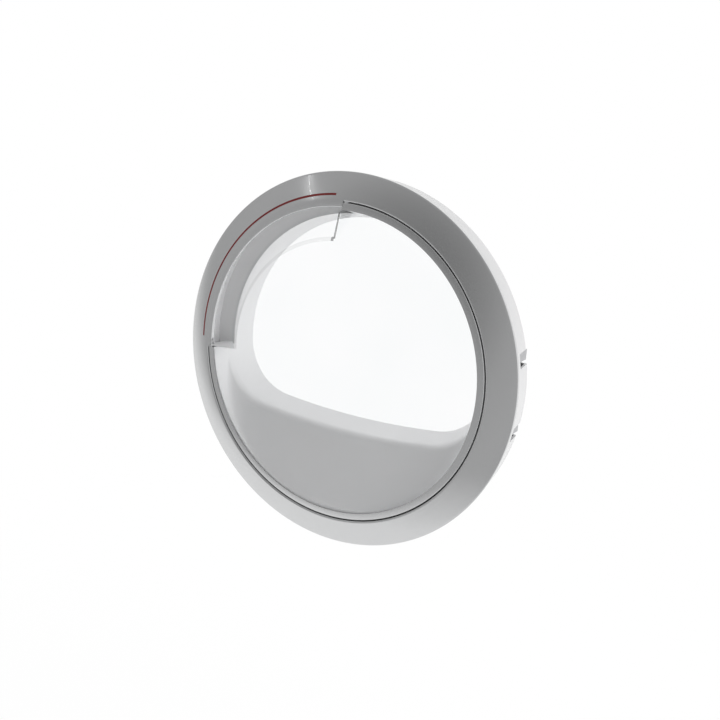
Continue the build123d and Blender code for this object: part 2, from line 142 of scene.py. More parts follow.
def merge_shapes(piece, other, operation):
    """Joins, cuts or keeps what two solids share, and drops the second one."""
    modifier = piece.modifiers.new("shape", "BOOLEAN")
    modifier.operation = operation
    modifier.solver = "EXACT"
    modifier.object = other
    bpy.context.view_layer.objects.active = piece
    bpy.ops.object.modifier_apply(modifier=modifier.name)
    bpy.data.objects.remove(other)


def bars(places, r, front, rear, sides=32):
    """Round bars along the door's depth, as one object, at (x, z) places from the door's axis."""
    bpy.ops.object.select_all(action="DESELECT")
    made = []
    for x, z in places:
        middle = (door_x + x * mm, door_y + (front + rear) / 2 * mm, z * mm)
        bpy.ops.mesh.primitive_cylinder_add(vertices=sides, radius=r * mm, depth=(rear - front) * mm,
                                            location=middle, rotation=(pi / 2, 0, 0))
        made.append(bpy.context.object)
    for bar in made:
        bar.select_set(True)
    bpy.ops.object.join()
    bpy.ops.object.transform_apply(location=True, rotation=True, scale=True)
    return bpy.context.object


def around(r, angles):
    """Places on a circle of the door, as (x, z)."""
    return [(r * cos(radians(angle)), r * sin(radians(angle))) for angle in angles]


def dress(piece, body, slot_name, finish, *nodes):
    """Smooths a piece, gives it its finish and hands it to the frame."""
    bpy.ops.object.select_all(action="DESELECT")
    piece.select_set(True)
    bpy.context.view_layer.objects.active = piece
    bpy.ops.object.shade_smooth_by_angle(angle=radians(smooth_angle))
    piece.data.materials.clear()
    piece.data.materials.append(finish)
    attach(piece, body)
    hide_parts(*nodes)


def new_finish(name):
    """Empty procedural finish with its shader."""
    finish = bpy.data.materials.new(name)
    finish.use_nodes = True
    return finish, finish.node_tree.nodes["Principled BSDF"]


def add_noise(finish, scale, detail=4.0):
    """Noise on the object's own coordinates."""
    nodes = finish.node_tree.nodes
    coordinates = nodes.new("ShaderNodeTexCoord")
    noise = nodes.new("ShaderNodeTexNoise")
    noise.inputs["Scale"].default_value = scale
    noise.inputs["Detail"].default_value = detail
    finish.node_tree.links.new(coordinates.outputs["Object"], noise.inputs["Vector"])
    return noise


def vary(finish, source, low, high, socket):
    """Lets a texture move one shader value between two limits."""
    ramp = finish.node_tree.nodes.new("ShaderNodeMapRange")
    ramp.inputs["From Min"].default_value = 0.3
    ramp.inputs["From Max"].default_value = 0.7
    ramp.inputs["To Min"].default_value = low
    ramp.inputs["To Max"].default_value = high
    finish.node_tree.links.new(source.outputs[0], ramp.inputs["Value"])
    finish.node_tree.links.new(ramp.outputs["Result"], socket)


def tint(finish, source, dark, light, socket):
    """Lets a texture move a colour between two near tones."""
    ramp = finish.node_tree.nodes.new("ShaderNodeValToRGB")
    ramp.color_ramp.elements[0].position = 0.35
    ramp.color_ramp.elements[0].color = (*dark, 1)
    ramp.color_ramp.elements[1].position = 0.65
    ramp.color_ramp.elements[1].color = (*light, 1)
    finish.node_tree.links.new(source.outputs[0], ramp.inputs["Fac"])
    finish.node_tree.links.new(ramp.outputs["Color"], socket)


def grain(finish, shader, source, strength, distance):
    """Fine relief of a moulded or sprayed surface."""
    bump = finish.node_tree.nodes.new("ShaderNodeBump")
    bump.inputs["Strength"].default_value = strength
    bump.inputs["Distance"].default_value = distance
    finish.node_tree.links.new(source.outputs[0], bump.inputs["Height"])
    finish.node_tree.links.new(bump.outputs["Normal"], shader.inputs["Normal"])


def silver_lacquer():
    """Silver basecoat with fine flake under a gloss coat that has a little orange peel."""
    finish, shader = new_finish("silver_lacquer")
    shader.inputs["Metallic"].default_value = 0.9
    shader.inputs["Coat Weight"].default_value = 1.0
    shader.inputs["Coat Roughness"].default_value = 0.02
    flake = add_noise(finish, 2600, 2)
    tint(finish, flake, (0.6, 0.605, 0.61), (0.635, 0.64, 0.645), shader.inputs["Base Color"])
    vary(finish, add_noise(finish, 40), 0.14, 0.18, shader.inputs["Roughness"])
    grain(finish, shader, add_noise(finish, 300, 1), 0.006, 0.0002)
    return finish


face_steps = 14
accent_r = 212.5
accent_width = 2.4
accent_sink = 0.9
accent_start = 94.5
accent_end = 180.0
accent_gap = 0.1
groove_clear = 1.0
groove_inner_r = accent_r - accent_width / 2 - accent_gap
groove_outer_r = accent_r + accent_width / 2 + accent_gap
face_radii = [ring_inner_r + (ring_r - ring_inner_r) * step / face_steps for step in range(face_steps + 1)]
face_radii = [r for r in face_radii
              if not groove_inner_r - groove_clear < r < groove_outer_r + groove_clear]
face_radii = sorted(face_radii + [groove_inner_r, groove_outer_r])
skirt_front = ring_face(ring_skirt_r) + ring_wall + ring_crown / 2
ring = spun("silver_ring", [(r, ring_face(r)) for r in face_radii] + [
    (ring_r, ring_wall), (ring_skirt_r, skirt_front), (ring_skirt_r, ring_return_depth),
    (ring_return_r, ring_return_depth), (ring_return_r, ring_return_depth - ring_return_wall)])
round_edge(ring, ring_inner_r, -ring_rise, ring_edge_round)
round_edge(ring, ring_r, 0, ring_outer_round)


def polar(point):
    """Radius, depth and angle of a point of the frame on the door."""
    x = (point.x - door_x) / mm
    z = point.z / mm
    return sqrt(x * x + z * z), (point.y - door_y) / mm, atan2(z, x) * 180 / pi % 360


def select_faces(piece, wanted):
    """Selects the faces of a piece whose centre the test accepts, and opens edit mode on them."""
    mesh = piece.data
    for part in (mesh.vertices, mesh.edges):
        part.foreach_set("select", [False] * len(part))
    for face in mesh.polygons:
        face.select = wanted(*polar(face.center))
    bpy.ops.object.select_all(action="DESELECT")
    piece.select_set(True)
    bpy.context.view_layer.objects.active = piece
    bpy.context.tool_settings.mesh_select_mode = (False, False, True)
    bpy.ops.object.mode_set(mode="EDIT")


def in_groove(r, depth, angle):
    """True on the ring's face where the accent strip's groove is sunk."""
    return groove_inner_r < r < groove_outer_r and depth < 0 and accent_start < angle < accent_end


grip_start = 95.5
grip_end = 183.0
grip_root_r = 190.5
grip_rim_r = 158.5
grip_wall = 2.6
end_turn = grip_wall / grip_root_r * 180 / pi
grip_sweep = grip_end - grip_start
pocket_edge_r = 197.5
pocket_edge_wall = 2.4
pocket_edge_round = 1.0
end_lean = 2.5
end_lean_reach = 14.0


def lean_end(piece):
    """Turns the pocket's upper end outwards on a shaped piece, more the farther from the door's axis."""
    for vertex in piece.data.vertices:
        r, depth, angle = polar(vertex.co)
        near = max(0, 1 - abs(angle - grip_start) / end_lean_reach)
        lean = end_lean * max(0, r - grip_rim_r) / (grip_root_r - grip_rim_r)
        vertex.co = place(r, depth, angle - lean * near)


select_faces(ring, in_groove)
bpy.ops.mesh.extrude_region_move(TRANSFORM_OT_translate={"value": (0, accent_sink * mm, 0)})
bpy.ops.object.mode_set(mode="OBJECT")
bpy.context.tool_settings.mesh_select_mode = (True, False, False)
pocket_edge = spun("pocket_edge", [
    (ring_skirt_r, ring_face(ring_skirt_r)), (ring_inner_r, -ring_rise), (pocket_edge_r, -ring_rise),
    (pocket_edge_r, -ring_rise + pocket_edge_wall), (ring_skirt_r, -ring_rise + 1.6 * pocket_edge_wall)],
    grip_start - end_turn, grip_sweep + 2 * end_turn, sector_steps)
round_edge(pocket_edge, pocket_edge_r, -ring_rise, pocket_edge_round)
lean_end(pocket_edge)
merge_shapes(ring, pocket_edge, "UNION")
frame_screw_places = around(frame_screw_circle_r, frame_screw_angles)
bowl_screw_places = around(bowl_screw_circle_r, bowl_screw_angles)
frame_boss_front = ring_face(frame_screw_circle_r + frame_boss_r) + boss_cover
bowl_boss_front = ring_face(bowl_screw_circle_r + bowl_boss_r) + boss_cover
merge_shapes(ring, bars(frame_screw_places, frame_boss_r, frame_boss_front, inner_rear), "UNION")
merge_shapes(ring, bars(bowl_screw_places, bowl_boss_r, bowl_boss_front, ring_return_depth), "UNION")
merge_shapes(ring, bars(frame_screw_places, frame_pilot_r, frame_pilot_front, frame_rear_depth), "DIFFERENCE")
merge_shapes(ring, bars(bowl_screw_places, bowl_pilot_r, bowl_pilot_front, 0), "DIFFERENCE")
silver = silver_lacquer()
dress(ring, "door", "silver_lacquer", silver, "front_ring")


# Accent strip: a thin bent strip of dark red plastic, pressed into a groove in the ring's face.
# It follows the upper left of the ring, above the finger pocket.
accent_proud = 0.1
accent_crown = 1.5 * accent_proud
accent_end_gap = 0.03


def red_inlay():
    """Dark red through-coloured plastic with a soft gloss."""
    finish, shader = new_finish("red_inlay")
    tint(finish, add_noise(finish, 90), (0.21, 0.007, 0.007), (0.26, 0.011, 0.01),
         shader.inputs["Base Color"])
    vary(finish, add_noise(finish, 300), 0.35, 0.45, shader.inputs["Roughness"])
    return finish


strip_inner_r = accent_r - accent_width / 2
strip_outer_r = accent_r + accent_width / 2
strip_floor = accent_sink - accent_gap
accent = spun("red_strip", [
    (strip_inner_r, ring_face(strip_inner_r) - accent_proud),
    (accent_r, ring_face(accent_r) - accent_crown),
    (strip_outer_r, ring_face(strip_outer_r) - accent_proud),
    (strip_outer_r, ring_face(strip_outer_r) + strip_floor),
    (strip_inner_r, ring_face(strip_inner_r) + strip_floor)],
    accent_start + accent_end_gap, accent_end - accent_start - 2 * accent_end_gap, sector_steps)
dress(accent, "door", "red_inlay", red_inlay(), "accent_strip")


# Clear shield: one clear moulding with a flat pane, a turned-down edge and the finger pocket's inner wall.
# That wall slants from the pane's rim to the pocket's floor. A wall closes each end, the lower one's pocket
# face painted opaque pale as a highlight.
# The border is sprayed silver like the ring. The shield is pressed into the ring's turned-in edge.
pane_wall = 2.8
shield_edge_r = 203.3
shield_foot_r = 199.65
shield_skirt_wall = 2.4
shield_edge_round = 2.0
border_drop = 1.0
border_wall = 0.6
grip_floor = 25.0
grip_outer_r = 213.0
fit_gap = 0.2
grip_end_r = 200.5
grip_rim_round = 3.0
hook_turn = 1.4
hub_lap = 1.0
end_lap = 0.05
end_steps = 4
front_slack = 0.1
front_tilt = 0.1
border_r = 193.8


def grip_spread(spread):
    """Start and sweep of the finger pocket, lengthened at both ends."""
    extra = spread / grip_root_r * 180 / pi
    return grip_start - extra, grip_end - grip_start + 2 * extra


def clear_plastic(name, tone=1.0):
    """Clear polished plastic: it lets what lies behind show, and mirrors more the flatter it is seen; a tone
    below 1 paints shade.
    """
    finish = bpy.data.materials.new(name)
    finish.use_nodes = True
    tree = finish.node_tree
    tree.nodes.remove(tree.nodes["Principled BSDF"])
    see_through = tree.nodes.new("ShaderNodeBsdfTransparent")
    gloss = tree.nodes.new("ShaderNodeBsdfGlossy")
    facing = tree.nodes.new("ShaderNodeLayerWeight")
    facing.inputs["Blend"].default_value = 0.5
    rise = tree.nodes.new("ShaderNodeMath")
    rise.operation = "POWER"
    rise.inputs[1].default_value = 5.5
    share = tree.nodes.new("ShaderNodeMapRange")
    share.inputs["To Min"].default_value = 0.008
    share.inputs["To Max"].default_value = 0.3
    mixed = tree.nodes.new("ShaderNodeMixShader")
    tint(finish, add_noise(finish, 9), (0.992 * tone, 0.995 * tone, 0.996 * tone),
         (0.998 * tone, 0.999 * tone, tone), see_through.inputs["Color"])
    vary(finish, add_noise(finish, 14), 0.01, 0.04, gloss.inputs["Roughness"])
    tree.links.new(facing.outputs["Facing"], rise.inputs[0])
    tree.links.new(rise.outputs[0], share.inputs["Value"])
    tree.links.new(share.outputs["Result"], mixed.inputs["Fac"])
    tree.links.new(see_through.outputs[0], mixed.inputs[1])
    tree.links.new(gloss.outputs[0], mixed.inputs[2])
    tree.links.new(mixed.outputs[0], tree.nodes["Material Output"].inputs["Surface"])
    return finish


def painted_highlight_plastic():
    """Opaque pale plastic, a painted highlight for the light edge of the clear lower end wall, hiding the
    shade behind it.
    """
    finish, shader = new_finish("painted_highlight_plastic")
    tint(finish, add_noise(finish, 60), (0.84, 0.84, 0.845), (0.87, 0.87, 0.875),
         shader.inputs["Base Color"])
    vary(finish, add_noise(finish, 200), 0.45, 0.55, shader.inputs["Roughness"])
    return finish


pane_front = -ring_rise
pane_back = pane_front + pane_wall
grip_slope = (grip_root_r - grip_rim_r) / (grip_floor - pane_front)
slant_wall = grip_wall * sqrt(1 + grip_slope ** 2)
hub_r = grip_rim_r / 2
spoke_r = hub_r - hub_lap
bend_r = grip_rim_r - slant_wall + grip_slope * pane_wall
shield_lean = (shield_edge_r - shield_foot_r) / (ring_return_depth - pane_front)
grip_foot = grip_floor - fit_gap
border_back = pane_front + border_drop + border_wall
hub = [(0, pane_front), (hub_r, pane_front), (hub_r, pane_back), (0, pane_back)]
shield = spun("shield", hub)
rim = spun("rim", [
    (spoke_r, pane_front), (border_r, pane_front), (shield_edge_r, pane_front + border_drop),
    (shield_foot_r, ring_return_depth), (shield_foot_r - shield_skirt_wall, ring_return_depth),
    (shield_edge_r - shield_lean * pane_wall - shield_skirt_wall, border_back),
    (border_r - pane_wall, border_back), (border_r - 3 * pane_wall, pane_back), (spoke_r, pane_back)],
    grip_end + end_turn, 360 - grip_sweep - 2 * end_turn)
round_edge(rim, shield_edge_r, pane_front + border_drop, shield_edge_round)
grip = spun("grip", [
    (spoke_r, pane_front), (grip_rim_r, pane_front), (grip_root_r, grip_foot),
    (grip_root_r - slant_wall, grip_foot), (bend_r, pane_back), (spoke_r, pane_back)],
    grip_start, grip_sweep, sector_steps)
round_edge(grip, grip_rim_r, pane_front, grip_rim_round)
merge_shapes(shield, rim, "UNION")
merge_shapes(shield, grip, "UNION")
pocket_spread = 1.1 * end_turn
for end_start in (grip_start - end_turn, grip_end):
    end_wall = spun("end_wall", [
        (spoke_r, pane_front), (grip_rim_r, pane_front), (grip_root_r, pane_front),
        (grip_end_r, pane_front), (grip_end_r, grip_foot), (grip_root_r - slant_wall, grip_foot),
        (bend_r, pane_back), (spoke_r, pane_back)],
        end_start - end_lap, end_turn + 2 * end_lap, end_steps)
    merge_shapes(shield, end_wall, "UNION")
dress(shield, "door", "clear_plastic", clear_plastic("clear_shield"), "clear_shield")
clear_index, border_index, rim_shade_index, edge_shade_index, highlight_index = range(5)
shield.data.materials.append(silver)
shield.data.materials.append(clear_plastic("clear_rim_shade", 0.9))
shield.data.materials.append(clear_plastic("clear_edge_shade", 0.4))
shield.data.materials.append(painted_highlight_plastic())
for face in shield.data.polygons:
    r, depth, angle = polar(face.center)
    in_pocket = grip_start - pocket_spread < angle < grip_end + pocket_spread
    # Painted shade: the pocket's rounded rim gets a clear finish tinted a little darker, for the soft dark
    # line along the clear rim.
    on_rim = in_pocket and abs(r - grip_rim_r) < grip_rim_round and depth < pane_front + grip_rim_round
    # Painted shade: the upper end wall's front edge and the hook of the rim beside it get a clear finish
    # tinted dark, for the dark line of a clear edge seen edge-on.
    on_edge_shade = in_pocket and angle < grip_start and grip_rim_r < r < grip_root_r
    on_edge_shade = on_edge_shade and depth < pane_front + front_slack
    on_edge_shade = on_edge_shade or on_rim and angle < grip_start + hook_turn
    on_border = r > border_r and not in_pocket and face.normal.y < front_tilt
    # Painted highlight: the lower end wall's face towards the pocket is opaque pale plastic, standing for the
    # light edge of the clear wall and covering the shade behind it.
    on_painted_highlight = in_pocket and abs(angle - grip_end) < 2 * end_lap and r > grip_rim_r
    if on_painted_highlight:
        face.material_index = highlight_index
    elif on_edge_shade:
        face.material_index = edge_shade_index
    elif on_rim:
        face.material_index = rim_shade_index
    elif on_border:
        face.material_index = border_index
    else:
        face.material_index = clear_index
lean_end(shield)


# Inner bowl: one opaque moulding in pale grey satin plastic, screwed to the back of the ring by its flange.
# Its lower panel rises from the ring to a rounded nose, and a shelf runs back from there to the rear window.
# On the upper left its tunnel wall opens into the outer half of the finger pocket.
bowl_wall = 2.6
bowl_front_r = 195.3
bowl_rear_r = 180.0
bowl_rear = 57.0
bowl_flange_r = 216.0
panel_foot_z = -193.4
nose_depth = 15.4
nose_z = -93.6
shelf_rear_z = -84.7
nose_round = 8.0
corner_r = 72.0
front_corner_r = 135.0
floor_arc_r = 1000.0
lip_width = 6.0
panel_steps = 10
nose_steps = 12
shelf_steps = 6
arch_points = 120
corner_points = 28
floor_points = 32
bowl_screw_hole_r = 1.9
flange_hole_reach = 3.0
pocket_gap = 0.4
cut_past = 3.0
cut_rise = 0.6


def bowl_radius(depth):
    """Inside radius of the tunnel wall at a depth."""
    return bowl_front_r + (depth - pane_front) / (bowl_rear - pane_front) * (bowl_rear_r - bowl_front_r)


def bowl_floor():
    """Inside line of the lower panel, rounded nose and shelf, as (depth, z) points."""
    foot = Vector((pane_front, panel_foot_z))
    nose = Vector((nose_depth, nose_z))
    rear = Vector((bowl_rear, shelf_rear_z))
    before = nose + (foot - nose).normalized() * nose_round
    after = nose + (rear - nose).normalized() * nose_round
    line = [foot.lerp(before, step / panel_steps) for step in range(panel_steps)]
    for step in range(nose_steps + 1):
        share = step / nose_steps
        line.append(before.lerp(nose, share).lerp(nose.lerp(after, share), share))
    line += [after.lerp(rear, step / shelf_steps) for step in range(1, shelf_steps + 1)]
    return line


def bowl_corner(z):
    """Corner radius of the bowl where its floor is at a height: wide at the foot, tighter at the nose."""
    share = min(1, (z - panel_foot_z) / (nose_z - panel_foot_z))
    return front_corner_r + share * (corner_r - front_corner_r)


def arc_points(centre, r, start, end, count):
    """Points on an arc from one angle to another, without the last one."""
    turns = [start + (end - start) * step / count for step in range(count)]
    return [(centre[0] + r * cos(turn), centre[1] + r * sin(turn)) for turn in turns]


def window_outline(r, floor_z, corner):
    """Outline of the rear opening: a circle with a flattened floor and soft corners, as (x, z) points."""
    centre = floor_z + floor_arc_r
    reach = floor_arc_r - corner
    corner_z = ((r - corner) ** 2 - reach ** 2 + centre ** 2) / (2 * centre)
    corner_x = sqrt((r - corner) ** 2 - corner_z ** 2)
    side_turn = atan2(corner_z, corner_x)
    foot_turn = atan2(corner_z - centre, corner_x)
    points = arc_points((0, 0), r, side_turn, pi - side_turn, arch_points)
    points += arc_points((-corner_x, corner_z), corner, pi - side_turn, pi - foot_turn, corner_points)
    points += arc_points((0, centre), floor_arc_r, -pi - foot_turn, foot_turn, floor_points)
    return points + arc_points((corner_x, corner_z), corner, foot_turn, side_turn, corner_points)


def lofted(name, sections):
    """Solid through window-shaped sections of (depth, r, floor z, corner r)."""
    around_count = len(window_outline(bowl_rear_r, shelf_rear_z, corner_r))
    bpy.ops.object.select_all(action="DESELECT")
    bpy.ops.mesh.primitive_grid_add(x_subdivisions=around_count, y_subdivisions=len(sections) - 1)
    piece = bpy.context.object
    piece.name = name
    for row, (depth, r, floor_z, corner) in enumerate(sections):
        outline = window_outline(r, floor_z, corner)
        for column in range(around_count + 1):
            x, z = outline[column % around_count]
            vertex = piece.data.vertices[row * (around_count + 1) + column]
            vertex.co = (door_x + x * mm, door_y + depth * mm, z * mm)
    bpy.ops.object.mode_set(mode="EDIT")
    clean_mesh()
    return piece


def pale_plastic():
    """Pale grey satin plastic with a fine spark-eroded grain."""
    finish, shader = new_finish("pale_plastic")
    tint(finish, add_noise(finish, 6), (0.84, 0.84, 0.845), (0.87, 0.87, 0.875),
         shader.inputs["Base Color"])
    vary(finish, add_noise(finish, 60), 0.42, 0.5, shader.inputs["Roughness"])
    grain(finish, shader, add_noise(finish, 1500, 2), 0.08, 0.0002)
    return finish


inside = [(depth, bowl_radius(depth), z, bowl_corner(z)) for depth, z in bowl_floor()]
past_rear = (bowl_rear + cut_past, bowl_radius(bowl_rear + cut_past), shelf_rear_z + cut_rise, corner_r)
outside = [(depth + pane_wall, r + bowl_wall, z - bowl_wall, corner + bowl_wall)
           for depth, r, z, corner in inside]
outside[0] = (border_back + fit_gap, *outside[0][1:])
outside = [section for section in outside if section[0] < bowl_rear]
outside.append((bowl_rear, *outside[-1][1:]))
bowl = lofted("bowl", outside)
flange = spun("flange", [
    (bowl_rear_r, ring_return_depth), (bowl_flange_r, ring_return_depth),
    (bowl_flange_r, ring_return_depth + bowl_wall), (bowl_rear_r, ring_return_depth + bowl_wall)])
merge_shapes(bowl, flange, "UNION")
rear_lip = lofted("rear_lip", [
    (depth, bowl_rear_r + lip_width, shelf_rear_z - lip_width, corner_r + lip_width)
    for depth in (bowl_rear - bowl_wall, bowl_rear)])
merge_shapes(bowl, rear_lip, "UNION")
pocket_start, pocket_sweep = grip_spread(2 * grip_wall)
pocket = spun("pocket", [
    (bowl_rear_r, ring_return_depth), (grip_outer_r + bowl_wall, ring_return_depth),
    (grip_outer_r + bowl_wall, grip_floor + bowl_wall), (bowl_rear_r, grip_floor + bowl_wall)],
    pocket_start, pocket_sweep, sector_steps)
merge_shapes(bowl, pocket, "UNION")
merge_shapes(bowl, lofted("tunnel", inside + [past_rear]), "DIFFERENCE")
pocket_start, pocket_sweep = grip_spread(grip_wall + pocket_gap)
hollow = spun("hollow", [
    (grip_rim_r, pane_front), (grip_outer_r, pane_front),
    (grip_outer_r, grip_floor), (grip_rim_r, grip_floor)],
    pocket_start, pocket_sweep, sector_steps)
merge_shapes(bowl, hollow, "DIFFERENCE")
flange_holes = bars(bowl_screw_places, bowl_screw_hole_r, -flange_hole_reach, flange_hole_reach)
merge_shapes(bowl, flange_holes, "DIFFERENCE")
lean_end(bowl)
dress(bowl, "door", "pale_plastic", pale_plastic(), "inner_bowl")


# Window gasket: a flat ring of pale silicone rubber, cut from sheet.
# It is clamped between the bowl's rear lip and the window's flange.
gasket_wall = 1.0
cut_over = 1.0


def pale_silicone():
    """Pale milky silicone rubber, matt."""
    finish, shader = new_finish("pale_silicone")
    tint(finish, add_noise(finish, 25), (0.8, 0.8, 0.805), (0.84, 0.84, 0.845), shader.inputs["Base Color"])
    vary(finish, add_noise(finish, 120), 0.5, 0.6, shader.inputs["Roughness"])
    grain(finish, shader, add_noise(finish, 900, 2), 0.06, 0.0002)
    return finish


gasket_rear = bowl_rear + gasket_wall
gasket = lofted("gasket", [
    (depth, bowl_rear_r + lip_width, shelf_rear_z - lip_width, corner_r + lip_width)
    for depth in (bowl_rear, gasket_rear)])
gasket_hole = lofted("gasket_hole", [
    (depth, bowl_rear_r, shelf_rear_z, corner_r)
    for depth in (bowl_rear - cut_over, gasket_rear + cut_over)])
merge_shapes(gasket, gasket_hole, "DIFFERENCE")
dress(gasket, "door", "pale_silicone", pale_silicone(), "window_gasket")


# Rear window: one clear moulding with a flat flange and a shallow dish towards the drum.
# The rear frame clamps its flange against the gasket.
window_wall = 2.0
frame_lap = 3.0
dish_inset = 4.5
dish_depth = 12.0
dish_draft = radians(48)


def dish_section(depth, grow, drop):
    """Section of the dish, pulled in by its draft at a drop below its mouth."""
    pull = frame_lap + dish_inset - grow + drop * tan(dish_draft)
    return depth, bowl_rear_r - pull, shelf_rear_z + pull, corner_r - pull


window_front = gasket_rear
window_rear = window_front + window_wall
window = lofted("rear_window", [
    (depth, bowl_rear_r + lip_width, shelf_rear_z - lip_width, corner_r + lip_width)
    for depth in (window_front + fit_gap, window_rear - fit_gap)])
dish_floor = window_rear + dish_depth
merge_shapes(window, lofted("dish", [
    dish_section(window_rear - cut_over, 0, 0), dish_section(window_rear, 0, 0),
    dish_section(dish_floor, 0, dish_depth)]), "UNION")
merge_shapes(window, lofted("dish_hollow", [
    dish_section(window_front - cut_over, -window_wall, 0), dish_section(window_front, -window_wall, 0),
    dish_section(dish_floor - window_wall, -window_wall, dish_depth)]), "DIFFERENCE")
dress(window, "door", "clear_plastic", clear_plastic("clear_window"), "window")


# Rear frame: one white moulding, with the door's tapered flank, its back and the plug that frames the window.
# It is screwed to the ring's bosses from behind. Slots in its right flank let the hinge arms through.
frame_step = 0.6
frame_rear_r = 233.5
plug_r = 195.5
plug_draft = 1.5
plug_wall = 2.5
plug_round = 1.2
frame_round = 0.9 * frame_wall
plug_front = window_rear
plug_rear = plug_front + plug_wall
opening_front = 1.5
opening_rear = 3.6
opening_past = 0.5
slot_inner_x = 211.6
slot_front = 12.0
slot_height = 17.0
slot_past = 10.0
arm_z = 45.0
latch_x = -216.0
latch_screw_z = 15.0
latch_opening_left = -225.0
latch_opening_right = -206.5
latch_opening_height = 10.8
latch_opening_past = 3.0
bracket_screw_x = 207.4
bracket_screw_z = (-62, -20, 20, 62)
screw_hole_r = 2.1
screw_hole_sides = 24


def block(low, high):
    """Rectangular cutter between two corners given as (x, depth, z)."""
    bpy.ops.object.select_all(action="DESELECT")
    bpy.ops.mesh.primitive_cube_add(size=1)
    piece = bpy.context.object
    middle = Vector([(a + b) / 2 * mm for a, b in zip(low, high)])
    size = Vector([(b - a) * mm for a, b in zip(low, high)])
    for vertex in piece.data.vertices:
        vertex.co = place(0, 0) + middle + vertex.co * size
    return piece


def white_plastic():
    """White semi-gloss plastic with slight flow marks."""
    finish, shader = new_finish("white_plastic")
    shader.inputs["Coat Weight"].default_value = 0.25
    shader.inputs["Coat Roughness"].default_value = 0.12
    tint(finish, add_noise(finish, 5), (0.57, 0.57, 0.575), (0.6, 0.6, 0.605), shader.inputs["Base Color"])
    vary(finish, add_noise(finish, 45), 0.27, 0.36, shader.inputs["Roughness"])
    grain(finish, shader, add_noise(finish, 700, 1), 0.012, 0.0002)
    return finish


white = white_plastic()
shell = spun("white_frame", [
    (0, plug_front), (plug_r - plug_draft - plug_wall, plug_front), (plug_r - plug_wall, inner_rear),
    (frame_rear_r - frame_wall, inner_rear), (ring_r - frame_step - frame_wall, ring_wall),
    (ring_r - frame_step, ring_wall), (frame_rear_r, frame_rear_depth), (plug_r, frame_rear_depth),
    (plug_r - plug_draft, plug_rear), (0, plug_rear)])
round_edge(shell, frame_rear_r, frame_rear_depth, frame_round, 6)
round_edge(shell, plug_r - plug_draft, plug_rear, plug_round)
opening_ends = ((plug_front - opening_past, opening_front), (plug_rear + opening_past, opening_rear))
merge_shapes(shell, lofted("opening", [
    (depth, bowl_rear_r + grow, shelf_rear_z - grow, corner_r + grow)
    for depth, grow in opening_ends]), "DIFFERENCE")
for side in (-1, 1):
    slot_low = (slot_inner_x, slot_front, side * arm_z - slot_height / 2)
    slot_high = (ring_r + slot_past, frame_rear_depth + slot_past, side * arm_z + slot_height / 2)
    merge_shapes(shell, block(slot_low, slot_high), "DIFFERENCE")
merge_shapes(shell, block(
    (latch_opening_left, inner_rear - latch_opening_past, -latch_opening_height / 2),
    (latch_opening_right, frame_rear_depth + latch_opening_past, latch_opening_height / 2)), "DIFFERENCE")
frame_holes = frame_screw_places + [(bracket_screw_x, z) for z in bracket_screw_z]
frame_holes += [(latch_x, -latch_screw_z), (latch_x, latch_screw_z)]
merge_shapes(shell, bars(frame_holes, screw_hole_r, inner_rear - cut_over, frame_rear_depth + cut_over,
                         screw_hole_sides), "DIFFERENCE")
dress(shell, "door", "white_plastic", white, "rear_frame")


# Door seal: an endless moulded ring of dark grey rubber round the plug, with a flared lip.
# It is glued to the frame's back, and its lip presses on the cabinet.
seal_inner_r = 196.8
seal_outer_r = 203.0
seal_base = 2.4
seal_height = 7.0
seal_lip = 2.0
seal_round = 0.5


def seal_rubber():
    """Dark grey matt rubber."""
    finish, shader = new_finish("seal_rubber")
    tint(finish, add_noise(finish, 25), (0.1, 0.1, 0.104), (0.135, 0.135, 0.138),
         shader.inputs["Base Color"])
    vary(finish, add_noise(finish, 120), 0.62, 0.75, shader.inputs["Roughness"])
    grain(finish, shader, add_noise(finish, 900, 2), 0.12, 0.0003)
    return finish


seal_foot = frame_rear_depth + seal_base
seal_tip = frame_rear_depth + seal_height
seal = spun("lip_seal", [
    (seal_inner_r, frame_rear_depth), (seal_outer_r, frame_rear_depth), (seal_outer_r, seal_foot),
    (seal_inner_r + 2 * seal_lip, seal_foot), (seal_outer_r, seal_tip - seal_lip / 2),
    (seal_outer_r - seal_lip / 2, seal_tip), (seal_inner_r + seal_lip / 2, seal_foot + seal_lip / 2)])
round_edge(seal, seal_outer_r, seal_tip - seal_lip / 2, seal_round, 3)
round_edge(seal, seal_outer_r - seal_lip / 2, seal_tip, seal_round, 3)
dress(seal, "door", "seal_rubber", seal_rubber(), "door_seal")


# Fasteners, hinge and latch: zinc-plated screws, pins, spring and hinge plates, nylon bushes and housing,
# and a white moulded hook. They keep their solid form and get their finish here.
def zinc_steel():
    """Zinc-plated steel with a faint crystalline mottling."""
    finish, shader = new_finish("zinc_steel")
    shader.inputs["Metallic"].default_value = 1.0
    tint(finish, add_noise(finish, 260), (0.47, 0.475, 0.485), (0.53, 0.53, 0.54),
         shader.inputs["Base Color"])
    vary(finish, add_noise(finish, 180), 0.28, 0.42, shader.inputs["Roughness"])
    grain(finish, shader, add_noise(finish, 900), 0.05, 0.0002)
    return finish


def dark_nylon():
    """Dark grey nylon with a dry moulded surface."""
    finish, shader = new_finish("dark_nylon")
    tint(finish, add_noise(finish, 70), (0.085, 0.085, 0.09), (0.115, 0.115, 0.12),
         shader.inputs["Base Color"])
    vary(finish, add_noise(finish, 200), 0.45, 0.55, shader.inputs["Roughness"])
    grain(finish, shader, add_noise(finish, 1100), 0.1, 0.0002)
    return finish


steel = zinc_steel()
nylon = dark_nylon()
node_finishes = {
    steel: ("bowl_screws", "frame_screws", "hinge_leaf", "hinge_pins", "hinge_bracket", "bracket_screws",
            "latch_pin", "latch_spring", "latch_screws"),
    nylon: ("hinge_bushes", "latch_housing"),
    white: ("latch_hook",),
}
for finish, names in node_finishes.items():
    for name in names:
        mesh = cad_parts[name].data
        mesh.materials.clear()
        mesh.materials.append(finish)


